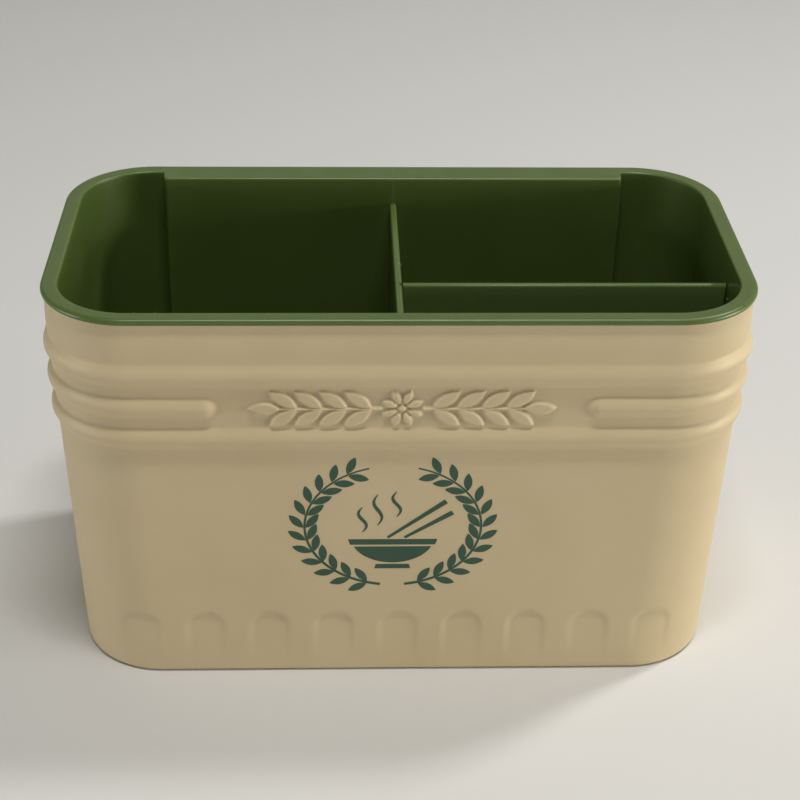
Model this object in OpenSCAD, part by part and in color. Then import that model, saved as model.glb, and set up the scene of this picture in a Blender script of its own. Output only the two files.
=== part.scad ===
// Kitchen caddy for chopsticks and cutlery: a tapered outer shell, a draining
// liner whose rim lies on the shell, and two dividers that slide into the liner.
// Millimetres. The origin is the middle of the base, the front looks along -Y.

/* [Overall] */
// Length of the rim from left to right
rim_w = 205; // [190:1:220]
// Depth of the rim from front to back
rim_d = 108; // [100:1:116]
// Height from the table to the crest of the rim
total_h = 125; // [115:1:135]
// Corner radius of the rim seen from above
rim_r = 26; // [24:0.5:28]

/* [Shell] */
// Wall thickness of the shell
shell_wall = 2; // [1.6:0.1:2.4]
// Thickness of the shell's floor
shell_floor = 2.5; // [2:0.5:4]
// How far the shell's top edge stands in from the rim's edge
shell_top_in = 0.4; // [0.2:0.1:1]
// How far the shell's foot stands in from the rim's edge
shell_foot_in = 4.8; // [3:0.1:6]
// Radius of the rounded edge round the foot
foot_round = 1.8; // [1:0.2:3]
// Width of the ring that the shell stands on
foot_ring = 7; // [5:0.5:10]
// Depth of the hollow inside that ring
foot_hollow = 0.8; // [0.4:0.1:1.5]

/* [Beads] */
// Height of the middle of the lowest bead
bead_low = 86.1; // [80:0.1:92]
// Distance from one bead to the next
bead_pitch = 10.25; // [9:0.05:12]
// Half the width of a bead with its blends
bead_half = 2.9; // [2.5:0.1:4.2]
// How far a bead stands out of the wall
bead_out = 1.1; // [0.6:0.1:1.6]
// Where the two ends of the middle bead stop, from the middle of the front
bead_stop = 56; // [30:0.5:70]

/* [Flutes] */
// Number of flutes along the foot of a long side
flute_count = 9; // [5:1:11]
// Distance from one flute to the next
flute_pitch = 19.5; // [15:0.5:20]
// Width of a flute
flute_w = 13.7; // [8:0.1:14]
// Height of the crown of a flute
flute_top = 24; // [16:0.5:40]
// Height where a flute runs out into the leaning wall
flute_low = 3; // [2:0.5:8]

/* [Liner] */
// Visible thickness of the rim
rim_t = 2; // [1.6:0.1:3]
// Free space between the shell and the liner
liner_gap = 0.6; // [0.4:0.1:1]
// Wall thickness of the liner
liner_wall = 2; // [1.6:0.1:2.2]
// Height of the liner's floor above the table
liner_floor = 14; // [10:0.5:20]
// Thickness of the liner's floor
liner_floor_t = 2; // [1.5:0.1:3]
// Radius of the rounded edge between the liner's wall and floor
liner_round = 3; // [2:0.5:5]
// How far the flat panel at the back stands in from the wall
panel_in = 5.2; // [3:0.1:8]
// Half the length of that panel, at the rim
panel_half = 73.4; // [60:0.1:74]

/* [Drain slots] */
// Width of a drain slot
slot_w = 3; // [2:0.1:4]
// Length of a drain slot
slot_l = 10; // [6:0.5:11]
// Distance from one slot to the next, side by side
slot_pitch = 9; // [8:0.1:9]
// Number of slots to each side of the main divider, in a row
slot_count = 9; // [3:1:9]

/* [Dividers] */
// Thickness of a divider
plate_t = 2.1; // [1.7:0.1:2.4]
// Radius of the rounded edges along the top of a divider
top_round = 0.8; // [0.4:0.1:0.8]
// Height of the top of a divider above the table
plate_top = 116.5; // [90:0.5:118]
// Middle of the main divider, from the middle of the holder
main_x = -0.2; // [-4:0.1:4]
// Middle of the cross divider, from the middle of the holder
cross_y = -14.6; // [-16:0.1:-14]
// Thickness of the tongue along a divider's edge
tongue_t = 0.9; // [0.8:0.05:1]
// How far a tongue stands out of a divider's edge
tongue_out = 0.6; // [0.5:0.05:0.7]
// Width of the groove that a tongue slides in
groove_w = 1.3; // [1.2:0.05:1.6]
// Depth of a groove in the liner's wall
groove_in = 0.7; // [0.5:0.05:0.9]
// How far below the top of a divider the grooves in the liner end
groove_drop = 1.5; // [1:0.1:3]
// Depth of the groove in the main divider
plate_groove_in = 0.5; // [0.4:0.05:0.6]
// Free space between the end of a divider and what it meets
end_gap = 0.25; // [0.2:0.05:0.3]

/* [Hidden] */
cream = [0.84, 0.77, 0.62];
green = [0.24, 0.36, 0.16];
corner_steps = 12;
bead_steps = 4;
round_steps = 3;
fine = 32;
over = 1;
shell_h = total_h - rim_t;
shell_r = rim_r - shell_top_in;
bead_z = [for (i = [0:2]) bead_low + i * bead_pitch];
liner_in = shell_wall + liner_gap;
cavity_in = liner_in + liner_wall;
rim_nose = 0.6 * rim_t;
rim_lip = 0.8;
rim_band = shell_top_in + cavity_in;
panel_draft = 0.4;
panel_soft = 1.2;
slot_rows = [-30, -7.5, 12, 30];
plate_cut = liner_round + 0.5;
tongue_cut = plate_cut + tongue_out + 0.5;
groove_low = liner_floor + plate_cut;
groove_top = plate_top - groove_drop;
wall_lean = (shell_foot_in - shell_top_in) / shell_h;
tongue_top = groove_top - (tongue_out - end_gap + 0.1) / wall_lean;
plate_body = plate_top - top_round;

// How far the leaning walls stand in from the rim's edge at height z
function lean(z) = shell_foot_in + (shell_top_in - shell_foot_in) * z / shell_h;

// Half the distance between two facing walls that stand "in" from the shell's surface
function half_w(z, in = 0) = rim_w / 2 - lean(z) - in;
function half_d(z, in = 0) = rim_d / 2 - lean(z) - in;

// How far the surface of a bead stands out at distance d from its middle line
function hump(d) = d < bead_half ? bead_out * pow(cos(90 * d / bead_half), 2) : 0;
function beads(z) = hump(min([for (b = bead_z) abs(z - b)]));

// The same on the front, where the middle bead stops in two round ends
function front_beads(x, z) =
    hump(min(abs(z - bead_z[0]), abs(z - bead_z[2]),
        norm([max(0, bead_stop - abs(x)), z - bead_z[1]])));

// Where the front needs points of its own, to draw those two ends
bead_end = [for (k = [0:bead_steps]) bead_stop - k * bead_half / bead_steps];
front_x = concat(-bead_end, [for (k = [bead_steps:-1:0]) bead_end[k]]);

// A quarter turn of points round a corner, and a whole round of four corners
function corner(x, y, r, from) =
    [for (i = [0:corner_steps])
        let (a = from + 90 * i / corner_steps)
        [x + r * cos(a), y + r * sin(a)]];
function outline(x, y, r, front, back) =
    concat(front, corner(x, -y, r, -90), corner(x, y, r, 0),
        back, corner(-x, y, r, 90), corner(-x, -y, r, 180));
function lift(points, z) = [for (p = points) [p[0], p[1], z]];

// A ring on the shell, "in" from its surface, with or without the beads
function shell_ring(z, in, beaded = false) =
    let (b = beaded ? beads(z) : 0,
        front = [for (s = front_x) [s, in - half_d(z) - (beaded ? front_beads(s, z) : 0)]])
    lift(outline(half_w(z, shell_r), half_d(z, shell_r), shell_r - in + b, front, []), z);

// The flat panel stands in at the back of the liner, with a soft edge at each end
function panel_points(half, y, step) =
    let (side = [[half + panel_draft, y], [half, y - max(0, step - panel_soft)],
        [half - panel_soft, y - step]])
    concat(side, [for (p = backwards(side)) [-p[0], p[1]]]);

// The liner's outline, "in" from the surface of the shell, with the step of the panel
function liner_outline(z, in, half) =
    let (x = half_w(z, shell_r), h = min(half, x - panel_draft - 0.1))
    outline(x, half_d(z, shell_r), shell_r - in, [],
        panel_points(h, half_d(z, in), panel_in));
function liner_ring(z, in, half) = lift(liner_outline(z, in, half), z);

// A ring on the rim, "in" from its edge, with or without that step
function rim_ring(z, in, step = 0) =
    lift(outline(rim_w / 2 - rim_r, rim_d / 2 - rim_r, rim_r - in, [],
        panel_points(panel_half, rim_d / 2 - in, step)), z);

// A quarter round of radius r: [how high, how far in] from a sharp edge
function quarter(r) =
    [for (k = [0:round_steps])
        let (a = 90 * k / round_steps)
        [r * (1 - cos(a)), r * (1 - sin(a))]];
function backwards(list) = [for (i = [len(list) - 1:-1:0]) list[i]];

// The points of a ring in order from number "hub" on
function turned(n, hub) = [for (i = [0:n - 1]) (hub + i) % n];

// The two ends of a skin: one face each, or a fan of triangles round point "hub"
function end_faces(n, last, hub) =
    let (first = turned(n, hub), top = [for (i = backwards(first)) last + i])
    hub == 0 ? [first, top] : concat(
        [for (i = [1:n - 2]) [first[0], first[i], first[i + 1]]],
        [for (i = [0:n - 3]) [top[n - 1], top[i], top[i + 1]]]);

// A closed solid through rings that have the same number of points. It has an end face at
// the first and last ring, or none where the last ring is joined to the first again
module skin(rings, hub = 0, joined = false) {
    n = len(rings[0]);
    m = len(rings);
    last = joined ? m - 1 : m - 2;
    polyhedron(
        points = [for (ring = rings) each ring],
        faces = concat(
            joined ? [] : end_faces(n, (m - 1) * n, hub),
            [for (j = [0:last], i = [0:n - 1])
                let (up = (j + 1) % m)
                [j * n + i, up * n + i, up * n + (i + 1) % n]],
            [for (j = [0:last], i = [0:n - 1])
                let (up = (j + 1) % m)
                [j * n + i, up * n + (i + 1) % n, j * n + (i + 1) % n]]));
}

// Rounded outline of the shell at height z, "in" from its surface
module shell_outline(z, in) {
    x = half_w(z, shell_r);
    y = half_d(z, shell_r);
    r = shell_r - in;
    square([2 * (x + r), 2 * y], center = true);
    square([2 * x, 2 * (y + r)], center = true);
    for (sx = [-1, 1], sy = [-1, 1])
        translate([sx * x, sy * y])
            circle(r, $fn = 4 * corner_steps);
}

// The flutes have upright backs that follow the round corners, so they run out where the wall
// leans in towards the foot
module flute_row() {
    difference() {
        for (i = [0:flute_count - 1])
            translate([(i - (flute_count - 1) / 2) * flute_pitch, -half_d(0, shell_r), 0])
                rotate([90, 0, 0])
                    linear_extrude(shell_r + shell_foot_in) {
                        translate([0, flute_top - flute_w / 2])
                            circle(d = flute_w, $fn = fine);
                        translate([-flute_w / 2, flute_low])
                            square([flute_w, flute_top - flute_w / 2 - flute_low]);
                    }
        linear_extrude(flute_top + over)
            shell_outline(flute_low, 0);
    }
}

module outer_shell() {
    outside = concat(
        [for (q = quarter(foot_round)) shell_ring(q[0], q[1])],
        [for (b = bead_z, k = [-bead_steps:bead_steps])
            shell_ring(b + k * bead_half / bead_steps, 0, true)],
        [shell_ring(shell_h, 0)]);
    inside = concat(
        [shell_ring(shell_h, shell_wall)],
        [for (q = backwards(quarter(foot_round)))
            shell_ring(shell_floor + q[0], shell_wall + q[1])]);
    color(cream)
        difference() {
            skin(concat(outside, inside), len(front_x) + 2 * corner_steps + 1);
            translate([0, 0, -over])
                linear_extrude(foot_hollow + over)
                    shell_outline(0, foot_ring);
            flute_row();
            rotate([0, 0, 180])
                flute_row();
        }
}

// The slots stand in rows that keep clear of the dividers
module drain_slots() {
    for (side = [-1, 1], i = [1:slot_count], y = slot_rows)
        translate([main_x + side * i * slot_pitch, y]) {
            square([slot_w, slot_l - slot_w], center = true);
            for (end = [-1, 1])
                translate([0, end * (slot_l - slot_w) / 2])
                    circle(d = slot_w, $fn = fine);
        }
}

// A groove down a leaning wall on the +Y side: "face" is where the wall stands at the groove's
// foot and top. It ends below the top of the divider, whose tongue clears the wall above it
// because the wall leans out
module wall_groove(face) {
    rotate([90, 0, 90])
        translate([0, 0, -groove_w / 2])
            linear_extrude(groove_w)
                polygon([[face[0] - over, groove_low], [face[0] + groove_in, groove_low],
                    [face[1] + groove_in, groove_top], [face[1] - over, groove_top]]);
}

module divider_grooves() {
    at = [groove_low, groove_top];
    translate([main_x, 0, 0]) {
        wall_groove([for (z = at) half_d(z, cavity_in + panel_in)]);
        rotate([0, 0, 180])
            wall_groove([for (z = at) half_d(z, cavity_in)]);
    }
    translate([0, cross_y, 0])
        rotate([0, 0, -90])
            wall_groove([for (z = at) half_w(z, cavity_in)]);
}

module inner_liner() {
    low = liner_floor - liner_floor_t;
    floor_edge = liner_outline(liner_floor, cavity_in + liner_round + 1, panel_half);
    outside = concat(
        [lift(floor_edge, low)],
        [for (q = quarter(liner_round))
            liner_ring(low + q[0], liner_in + q[1], panel_half - liner_wall)],
        [liner_ring(shell_h, liner_in, panel_half - liner_wall)]);
    rim = concat(
        [rim_ring(shell_h, 0)],
        [for (k = [0:2 * round_steps])
            let (a = 45 * k / round_steps)
            rim_ring(total_h - rim_nose * (1 - sin(a)), rim_nose * (1 - cos(a)))],
        [for (k = [2 * round_steps:-1:0])
            let (a = 45 * k / round_steps)
            rim_ring(total_h - rim_lip * (1 - sin(a)), rim_band - rim_lip * (1 - cos(a)),
                panel_in)]);
    cavity = concat(
        [for (q = backwards(quarter(liner_round)))
            liner_ring(liner_floor + q[0], cavity_in + q[1], panel_half)],
        [lift(floor_edge, liner_floor)]);
    color(green) {
        difference() {
            skin(concat(outside, rim, cavity), joined = true);
            divider_grooves();
        }
        translate([0, 0, low])
            linear_extrude(liner_floor_t)
                difference() {
                    polygon(floor_edge);
                    drain_slots();
                }
    }
}

// An upright plate along +Y up to height "top": front and back hold the distance of its edges
// from the middle, at the foot and at the top, and "cut" what its foot corners lose
module plate(front, back, cut, thick, top) {
    rotate([90, 0, 90])
        translate([0, 0, -thick / 2])
            linear_extrude(thick)
                polygon([[cut[0] - front[0], liner_floor], [back[0] - cut[1], liner_floor],
                    [back[0], liner_floor + cut[1]], [back[1], top],
                    [-front[1], top], [-front[0], liner_floor + cut[0]]]);
}

// The top of such a plate: a flat strip between two rounded edges
module round_top(front, back) {
    flat = plate_t / 2 - top_round;
    translate([-flat, -front, plate_body])
        cube([2 * flat, front + back, top_round]);
    for (side = [-1, 1])
        translate([side * flat, -front, plate_body])
            rotate([-90, 0, 0])
                cylinder(h = front + back, r = top_round, $fn = fine);
}

module main_divider() {
    at = [groove_low, plate_body];
    tongue_at = [groove_low, tongue_top];
    wall = cavity_in + end_gap;
    panel = wall + panel_in;
    front = [for (z = at) half_d(z, wall)];
    back = [for (z = at) half_d(z, panel)];
    cut = [plate_cut, plate_cut];
    color(green)
        translate([main_x, 0, 0])
            difference() {
                union() {
                    plate(front, back, cut, plate_t, plate_body);
                    round_top(front[1], back[1]);
                    plate([for (z = tongue_at) half_d(z, wall - tongue_out)],
                        [for (z = tongue_at) half_d(z, panel - tongue_out)],
                        [tongue_cut, tongue_cut], tongue_t, tongue_top);
                }
                translate([plate_t / 2 - plate_groove_in, cross_y - groove_w / 2, 0])
                    cube([plate_t, groove_w, total_h]);
            }
}

module cross_divider() {
    wall = [for (z = [groove_low, plate_body]) half_w(z, cavity_in + end_gap)];
    tongue = [for (z = [groove_low, tongue_top]) half_w(z, cavity_in + end_gap - tongue_out)];
    start = -(main_x + plate_t / 2 + end_gap);
    root = start + plate_groove_in;
    color(green)
        translate([0, cross_y, 0])
            rotate([0, 0, -90]) {
                plate([start, start], wall, [0, plate_cut], plate_t, plate_body);
                round_top(start, wall[1]);
                plate([root, root], tongue, [0, tongue_cut], tongue_t, tongue_top);
            }
}

outer_shell();
inner_liner();
main_divider();
cross_divider();
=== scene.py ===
"""Looks of a kitchen caddy for chopsticks and cutlery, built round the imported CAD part.

The caddy has a cream outer shell, a green draining liner whose rim lies on the shell, and two
green dividers that slide into the liner. Lengths are millimetres in the frame of the CAD part,
+X to the right, +Y to the back and +Z up, and Body turns them into metres where it makes a
mesh. Node settings, lights and the camera are in Blender's own units.
"""

import logging
import math
from collections.abc import Iterable, Sequence
from dataclasses import dataclass, field
from enum import Enum

import bpy
import numpy as np
from mathutils import Euler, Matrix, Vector
from mathutils.geometry import delaunay_2d_cdt


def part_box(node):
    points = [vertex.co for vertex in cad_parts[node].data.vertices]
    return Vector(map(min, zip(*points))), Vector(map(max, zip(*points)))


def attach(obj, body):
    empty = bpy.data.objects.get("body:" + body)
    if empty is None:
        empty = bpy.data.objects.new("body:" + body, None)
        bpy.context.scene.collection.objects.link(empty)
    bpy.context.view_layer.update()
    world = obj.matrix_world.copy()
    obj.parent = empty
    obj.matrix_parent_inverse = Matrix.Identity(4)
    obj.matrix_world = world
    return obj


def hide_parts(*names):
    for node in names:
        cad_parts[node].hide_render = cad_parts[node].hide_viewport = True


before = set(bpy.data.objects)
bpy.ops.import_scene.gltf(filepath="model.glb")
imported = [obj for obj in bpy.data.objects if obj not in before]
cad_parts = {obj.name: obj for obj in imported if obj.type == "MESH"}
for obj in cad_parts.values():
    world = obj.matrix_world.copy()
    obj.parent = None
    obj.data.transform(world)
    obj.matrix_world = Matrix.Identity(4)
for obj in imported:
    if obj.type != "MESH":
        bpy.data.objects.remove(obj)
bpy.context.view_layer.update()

LOG = logging.getLogger("caddy")
MM = 0.001
SHARP_ANGLE = math.radians(32)
TRIANGLES_INSIDE = 1
MERGE_DISTANCE = 1e-6
NOISE_LOW, NOISE_HIGH = 0.3, 0.7
CLEARANCE = 0.25

# Distances from a corner, a small rounding or a fillet to the ring that holds the flat beside it.
PAST_CORNER, PAST_ROUND, PAST_FILLET = 0.3, 0.4, 1.0

Pair = tuple[float, float]
Triple = tuple[float, float, float]
Colour = tuple[float, float, float, float]


class Carrier(str, Enum):
    """The CAD bodies that pieces ride on."""

    SHELL = "shell"
    LINER = "liner"
    MAIN = "main_divider"
    CROSS = "cross_divider"


class Slot(str, Enum):
    """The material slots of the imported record."""

    SHELL = "shell_plastic"
    LINER = "liner_plastic"
    DIVIDER = "divider_plastic"


def soft_step(distance: np.ndarray, width: float) -> np.ndarray:
    """Rise smoothly from 0 to 1.

    Args:
        distance: Distance inside an edge.
        width: Distance over which the rise is complete.

    Returns:
        The height as a share of the full height.
    """
    share = np.clip(distance / width, 0, 1)
    return share * share * (3 - 2 * share)


def round_edge(radius: float, steps: int = 5) -> list[Pair]:
    """Give the points of a quarter round.

    Args:
        radius: Radius of the rounding.
        steps: Number of chords.

    Returns:
        Pairs of the distances from the two faces that the rounding joins, from the first
        face to the second.
    """
    angles = [math.pi / 2 * k / steps for k in range(steps + 1)]
    return [(radius * (1 - math.cos(a)), radius * (1 - math.sin(a))) for a in angles]


def between(start: float, end: float, chords: int) -> np.ndarray:
    """Give the points that cut a stretch into equal chords, without its ends."""
    return np.linspace(start, end, chords + 1)[1:-1]


def linked(name: str, data: bpy.types.ID) -> bpy.types.Object:
    """Make an object and put it in the scene.

    Args:
        name: Name of the object.
        data: Its mesh, light or camera.

    Returns:
        The object.
    """
    made = bpy.data.objects.new(name, data)
    bpy.context.scene.collection.objects.link(made)
    return made


class Body:
    """A mesh that grows from rings of points, flat faces and joined loops."""

    ridge_root = 0.1
    ridge_crest = 0.4

    def __init__(self) -> None:
        """Start an empty mesh."""
        self.points: list[np.ndarray] = []
        self.faces: list[Sequence[int]] = []
        self.count = 0

    def add(self, points: np.ndarray) -> np.ndarray:
        """Add points.

        Args:
            points: Rows of x, y and z.

        Returns:
            The numbers of the new points.
        """
        points = np.asarray(points, float).reshape(-1, 3)
        numbers = np.arange(self.count, self.count + len(points))
        self.points.append(points)
        self.count += len(points)
        return numbers

    def loft(self, rings: Sequence[np.ndarray]) -> np.ndarray:
        """Join rings of equal length, each to the next, with four-sided faces.

        Args:
            rings: Closed rings that run counter-clockwise seen from the tip of the path.

        Returns:
            The numbers of the points, one row for each ring.
        """
        grid = np.array([self.add(ring) for ring in rings])
        here, up = grid[:-1], grid[1:]
        quads = np.stack([here, np.roll(here, -1, 1), np.roll(up, -1, 1), up], -1)
        self.faces.extend(quads.reshape(-1, 4).tolist())
        return grid

    def cap(self, ring: np.ndarray) -> None:
        """Close a ring with one flat face that looks back along the order of its points."""
        self.faces.append(ring.tolist())

    def closed(self, rings: Sequence[np.ndarray]) -> None:
        """Join rings as loft does and close both ends."""
        grid = self.loft(rings)
        self.cap(grid[0][::-1])
        self.cap(grid[-1])

    def ridge(
        self,
        path: Sequence[Triple],
        normals: Sequence[Triple],
        width: float,
        rise: float,
    ) -> None:
        """Lay a thin moulding ridge along a path on a surface.

        Args:
            path: Points on the surface.
            normals: The surface's outward direction at each point.
            width: Width of the ridge.
            rise: Height of the ridge.
        """
        across = np.cross(normals[0], np.subtract(path[1], path[0]))
        across *= width / 2 / np.linalg.norm(across)
        rings = []
        for place, normal in zip(path, normals):
            base, up = np.array(place), np.array(normal)
            low, high = base - self.ridge_root * up, base + rise * up
            crest = self.ridge_crest * across
            rings.append(np.array([low + across, high + crest, high - crest, low - across]))
        self.closed(rings)

    def pierced(self, edge: np.ndarray, holes: Sequence[np.ndarray], upward: bool) -> None:
        """Fill a level ring with triangles that leave out holes.

        Args:
            edge: Numbers of the points of the outer ring.
            holes: Numbers of the points of each hole.
            upward: Whether the faces look up.
        """
        loops = [edge, *holes]
        every = np.concatenate(loops)
        places = np.concatenate(self.points)[every]
        outlines: list[list[int]] = []
        start = 0
        for loop in loops:
            order = list(range(start, start + len(loop)))
            x, y = places[order, 0], places[order, 1]
            clockwise = np.sum(x * np.roll(y, -1) - y * np.roll(x, -1)) < 0
            outlines.append(order[::-1] if clockwise else order)
            start += len(loop)
        flat = [Vector((x, y)) for x, y in places[:, :2]]
        found = delaunay_2d_cdt(flat, [], outlines, TRIANGLES_INSIDE, MERGE_DISTANCE)
        origins, covered_by = found[3], found[5]
        for face, within in zip(found[2], covered_by):
            if any(outline > 0 for outline in within):
                continue
            corners = [int(every[origins[i][0]]) for i in face]
            self.faces.append(corners if upward else corners[::-1])

    def mesh(self, name: str, finish: bpy.types.Material) -> bpy.types.Mesh:
        """Make the smooth mesh, in metres and of one material."""
        mesh = bpy.data.meshes.new(name)
        mesh.from_pydata((np.concatenate(self.points) * MM).tolist(), [], self.faces)
        mesh.validate()
        mesh.shade_smooth()
        mesh.materials.append(finish)
        return mesh

    def piece(self, name: str, carrier: Carrier, finish: bpy.types.Material) -> bpy.types.Object:
        """Make the Blender object.

        Args:
            name: Name of the piece.
            carrier: CAD body that the piece rides on.
            finish: Material of the whole piece.

        Returns:
            The object, in metres and riding on its body.
        """
        mesh = self.mesh(name, finish)
        mesh.set_sharp_from_angle(angle=SHARP_ANGLE)
        made = linked(name, mesh)
        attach(made, carrier.value)
        LOG.info("%s: %d faces on %s", name, len(mesh.polygons), carrier.value)
        return made


@dataclass(frozen=True)
class NodeBench:
    """Builds the node tree of one material."""

    material: bpy.types.Material

    @classmethod
    def start(cls, name: str) -> "NodeBench":
        """Make a new material with an empty node tree."""
        material = bpy.data.materials.new(name)
        material.use_nodes = True
        material.node_tree.nodes.clear()
        return cls(material)

    def plug(self, socket: bpy.types.NodeSocket, value: object) -> None:
        """Link an output to an input, or set the input's own value."""
        if isinstance(value, bpy.types.NodeSocket):
            self.material.node_tree.links.new(value, socket)
        else:
            socket.default_value = value

    def node(self, kind: str, **sockets: object) -> bpy.types.Node:
        """Add a node.

        Args:
            kind: Blender's name for the kind of node, without its ShaderNode prefix.
            **sockets: Values for inputs, or outputs to link to them, by the input's name with
                underscores for spaces.

        Returns:
            The new node.
        """
        made = self.material.node_tree.nodes.new("ShaderNode" + kind)
        for name, value in sockets.items():
            self.plug(made.inputs[name.replace("_", " ")], value)
        return made

    def noise(self, place: bpy.types.NodeSocket, scale: float, detail: float) -> bpy.types.NodeSocket:
        """Add a noise texture and give its value output."""
        return self.node("TexNoise", Vector=place, Scale=scale, Detail=detail).outputs[0]

    def spread(
        self,
        value: bpy.types.NodeSocket,
        low: float,
        high: float,
        start: float = NOISE_LOW,
        end: float = NOISE_HIGH,
    ) -> bpy.types.NodeSocket:
        """Map a value to a range and hold it there.

        Args:
            value: Output to map, which is a noise texture's unless start and end are given.
            low: Result at the start and below it.
            high: Result at the end and above it.
            start: Value that gives the low result.
            end: Value that gives the high result.

        Returns:
            The mapped value.
        """
        sockets = {"From_Min": start, "From_Max": end, "To_Min": low, "To_Max": high}
        return self.node("MapRange", Value=value, **sockets).outputs[0]

    def mix(self, share: object, one: object, other: object) -> bpy.types.NodeSocket:
        """Mix two colours.

        Args:
            share: Share of the second colour, a number or an output.
            one: First colour, four numbers or an output.
            other: Second colour, four numbers or an output.

        Returns:
            The mixed colour.
        """
        made = self.material.node_tree.nodes.new("ShaderNodeMix")
        made.data_type = "RGBA"
        slots = {"Factor_Float": share, "A_Color": one, "B_Color": other}
        for socket in made.inputs:
            if socket.identifier in slots:
                self.plug(socket, slots[socket.identifier])
        return next(s for s in made.outputs if s.identifier == "Result_Color")

    def finish(self, shader: bpy.types.NodeSocket) -> bpy.types.Material:
        """Link a shader to the output and give the material."""
        self.node("OutputMaterial", Surface=shader)
        return self.material


def paint(red: float, green: float, blue: float) -> Colour:
    """Turn a display colour into Blender's linear one, by the sRGB curve.

    Args:
        red: Red from 0 to 255, as a screen shows it.
        green: Green, likewise.
        blue: Blue, likewise.

    Returns:
        Linear red, green, blue and an opacity of 1.
    """
    shares = [c / 255 for c in (red, green, blue)]
    linear = [s / 12.92 if s <= 0.04045 else ((s + 0.055) / 1.055) ** 2.4 for s in shares]
    return (linear[0], linear[1], linear[2], 1.0)


@dataclass(frozen=True)
class MouldedPlastic:
    """Injection-moulded plastic with a fine grain, slow shifts of tone and rubbed edges."""

    name: str
    tone: Colour
    second_tone: Colour
    edge_tone: Colour
    smooth: float
    rough: float
    grain: float
    edge_wear: float
    cloud_scale: float = 38.0
    handled_scale: float = 110.0
    grain_scale: float = 2600.0
    grain_depth: float = 0.00006
    flat_edge: float = 0.5
    sharp_edge: float = 0.56
    refraction: float = 1.49

    def material(self) -> bpy.types.Material:
        """Build the material."""
        bench = NodeBench.start(self.name)
        place = bench.node("TexCoord").outputs["Object"]
        clouds = bench.noise(place, self.cloud_scale, 3.0)
        colour = bench.mix(bench.spread(clouds, 0.0, 1.0), self.tone, self.second_tone)
        edge = bench.node("NewGeometry").outputs["Pointiness"]
        rubbed = bench.spread(edge, 0.0, self.edge_wear, self.flat_edge, self.sharp_edge)
        colour = bench.mix(rubbed, colour, self.edge_tone)
        handled = bench.noise(place, self.handled_scale, 4.0)
        roughness = bench.spread(handled, self.smooth, self.rough)
        grain = bench.noise(place, self.grain_scale, 2.0)
        bump = bench.node("Bump", Height=grain, Strength=self.grain, Distance=self.grain_depth)
        shader = bench.node(
            "BsdfPrincipled",
            Base_Color=colour,
            Roughness=roughness,
            IOR=self.refraction,
            Normal=bump.outputs[0],
        )
        return bench.finish(shader.outputs[0])


@dataclass(frozen=True)
class PaleSweep:
    """Matt paint of the studio's floor."""

    name: str = "studio_paint"
    tone: float = 0.72
    blue_share: float = 0.985
    rough: float = 0.9

    def material(self) -> bpy.types.Material:
        """Build the material."""
        bench = NodeBench.start(self.name)
        shade = (self.tone, self.tone, self.tone * self.blue_share, 1.0)
        shader = bench.node("BsdfPrincipled", Base_Color=shade, Roughness=self.rough)
        return bench.finish(shader.outputs[0])


CREAM = MouldedPlastic(
    name="cream_plastic",
    tone=paint(209, 191, 153),
    second_tone=paint(205, 186, 147),
    edge_tone=paint(236, 220, 184),
    smooth=0.46,
    rough=0.56,
    grain=0.35,
    edge_wear=0.25,
)
LEAF_GREEN = MouldedPlastic(
    name="leaf_green_plastic",
    tone=paint(82, 102, 46),
    second_tone=paint(77, 97, 43),
    edge_tone=paint(122, 148, 90),
    smooth=0.3,
    rough=0.4,
    grain=0.08,
    edge_wear=0.35,
)
GREEN_INK = MouldedPlastic(
    name="green_ink",
    tone=paint(52, 86, 66),
    second_tone=paint(46, 79, 60),
    edge_tone=paint(60, 94, 74),
    smooth=0.5,
    rough=0.62,
    grain=0.1,
    edge_wear=0.0,
)


@dataclass(frozen=True)
class Taper:
    """The leaning walls that the shell and the liner share, in the sizes of the CAD part."""

    rim_width: float
    rim_depth: float
    total_height: float
    shell_height: float
    top_inset: float = 0.4
    foot_inset: float = 4.8
    shell_corner: float = 25.6

    @classmethod
    def from_frame(cls) -> "Taper":
        """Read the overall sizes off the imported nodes."""
        low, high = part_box("inner_liner")
        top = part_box("outer_shell")[1].z
        return cls((high.x - low.x) / MM, (high.y - low.y) / MM, high.z / MM, top / MM)

    def lean(self, z: float) -> float:
        """Give how far the walls stand in from the rim's edge at a height."""
        share = min(z, self.shell_height) / self.shell_height
        return self.foot_inset + (self.top_inset - self.foot_inset) * share

    def centre(self, z: float) -> Pair:
        """Give the x and y of the corners' centres at a height."""
        inset = self.lean(z) + self.shell_corner
        return self.rim_width / 2 - inset, self.rim_depth / 2 - inset


@dataclass(frozen=True)
class Column:
    """One line of points that runs up a wall.

    The point at a height is (along_x, along_y) times the corners' centres and along_panel times
    the end of the back panel, plus the shift, plus the radius times the outward direction.
    """

    out: Pair
    along_x: float = 0.0
    along_y: float = 0.0
    along_panel: float = 0.0
    shift_x: float = 0.0
    shift_y: float = 0.0
    step: float = 0.0
    groove: float = 0.0


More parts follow.
